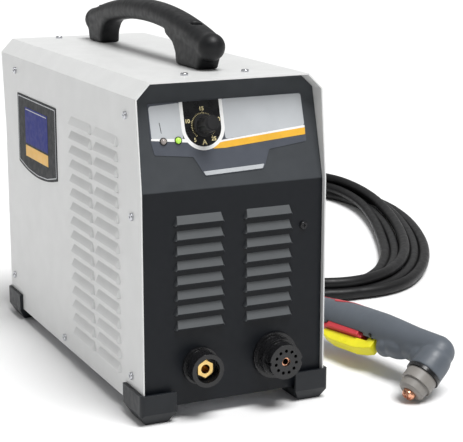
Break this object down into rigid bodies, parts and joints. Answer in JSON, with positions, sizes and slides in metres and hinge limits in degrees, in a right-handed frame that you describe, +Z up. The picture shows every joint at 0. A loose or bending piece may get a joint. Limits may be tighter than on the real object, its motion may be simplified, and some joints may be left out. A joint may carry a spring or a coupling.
{
  "type": "plasma cutter",
  "caption": "Upright plasma cutter with a louvred sheet-metal case, carrying handle, front sockets, built-in compressor, and a hand torch on a coiled lead.",
  "frame": {"origin": "on the floor, under the middle of the box around the unit and its torch, the lead left out", "axes": "+Z up; -Y towards the front panel with its sockets; +X to the unit's right-hand side, where the torch lies"},
  "size_m": [0.7205, 0.9852, 0.396],
  "materials": {
    "white_paint": "fine textured powder coat",
    "charcoal_paint": "satin powder coat",
    "black_plastic": "matt moulded",
    "grey_plastic": "matt moulded",
    "red_plastic": "satin moulded",
    "yellow_plastic": "satin moulded",
    "label": "printed film",
    "badge": "printed film",
    "green_lens": "clear tinted",
    "amber_lens": "clear tinted",
    "rubber": "matt",
    "steel": "plated",
    "zinc": "bright zinc plated",
    "black_steel": "black oxide",
    "brass": "turned",
    "copper": "turned copper",
    "aluminium": "extruded",
    "iron": "as cast, painted",
    "board": "lacquered board",
    "ferrite": "ferrite and windings",
    "ceramic": "heat-proof moulding",
    "white_plastic": "satin moulded"
  },
  "bodies": {
    "unit": {"air_hose": "rubber", "base_tray": "zinc", "black_screws": "black_steel", "cable_gland": "black_plastic", "chassis_shelf": "zinc", "compressor_crankcase": "iron", "compressor_head": "aluminium", "compressor_motor": "iron", "control_board": "board", "control_label": "label", "corner_feet": "black_plastic", "cover_shell": "white_paint", "cutting_nozzle": "copper", "earth_socket_housing": "black_plastic", "earth_socket_insert": "brass", "earth_socket_nut": "brass", "electrode": "copper", "fan_frame": "black_plastic", "fan_guard": "black_steel", "fault_led": "amber_lens", "front_panel": "charcoal_paint", "handle_grip": "black_plastic", "head_ring": "black_plastic", "heatsink": "aluminium", "lead_coil": "rubber", "lead_tail": "rubber", "main_transformer": "ferrite", "mains_switch_body": "black_plastic", "output_choke": "ferrite", "plug_body": "black_plastic", "potentiometer": "black_plastic", "power_board": "board", "power_led": "green_lens", "rear_panel": "charcoal_paint", "rubber_mounts": "rubber", "shield_cup": "ceramic", "side_badges": "badge", "side_screws": "zinc", "solenoid_valve": "black_plastic", "strain_boot": "rubber", "top_screws": "zinc", "torch_head_tube": "brass", "torch_insert": "red_plastic", "torch_lead": "rubber", "torch_pins": "steel", "torch_shell_left": "grey_plastic", "torch_shell_right": "grey_plastic", "torch_socket_housing": "black_plastic", "torch_socket_tube": "copper", "torch_switch": "black_plastic"},
    "knob": {"current_knob": "black_plastic", "knob_cap": "white_plastic", "potentiometer_shaft": "steel"},
    "rocker": {"mains_rocker": "red_plastic"},
    "fan": {"fan_rotor": "black_plastic"},
    "compressor_rotor": {"compressor_shaft": "steel", "compressor_fan": "black_plastic"},
    "trigger": {"torch_trigger": "red_plastic"},
    "lever": {"safety_lever": "yellow_plastic"},
    "nut": {"plug_nut": "black_plastic"}
  },
  "joints": [
    {"name": "knob_turn", "type": "hinge", "parent": "unit", "child": "knob", "pos_m": [-0.0914, -0.17251, 0.29091], "axis": [0, -0.9657, 0.2596], "range_deg": [-250, 20]},
    {"name": "mains_rocker_tilt", "type": "hinge", "parent": "unit", "child": "rocker", "pos_m": [-0.1379, 0.24215, 0.19], "axis": [1, 0, 0], "range_deg": [-18, 0]},
    {"name": "fan_spin", "type": "hinge", "parent": "unit", "child": "fan", "pos_m": [-0.0419, 0.23065, 0.148], "axis": [0, 1, 0], "continuous": true},
    {"name": "compressor_spin", "type": "hinge", "parent": "unit", "child": "compressor_rotor", "pos_m": [-0.0659, 0.08665, 0.082], "axis": [0, 1, 0], "continuous": true},
    {"name": "trigger_press", "type": "hinge", "parent": "unit", "child": "trigger", "pos_m": [0.11127, -0.06098, 0.02918], "axis": [-0.6038, -0.0656, 0.7945], "range_deg": [0, 4], "stiffness_Nm_per_rad": 1.5, "springref_deg": -2.86},
    {"name": "safety_lever_swing", "type": "hinge", "parent": "unit", "child": "lever", "pos_m": [0.12523, -0.14475, 0.03288], "axis": [-0.6038, -0.0656, 0.7945], "range_deg": [0, 20], "stiffness_Nm_per_rad": 0.12, "springref_deg": -14.32},
    {"name": "plug_nut_spin", "type": "hinge", "parent": "unit", "child": "nut", "pos_m": [0.01036, 0.392, 0.02447], "axis": [-0.9462, -0.3011, 0.1183], "continuous": true}
  ]
}
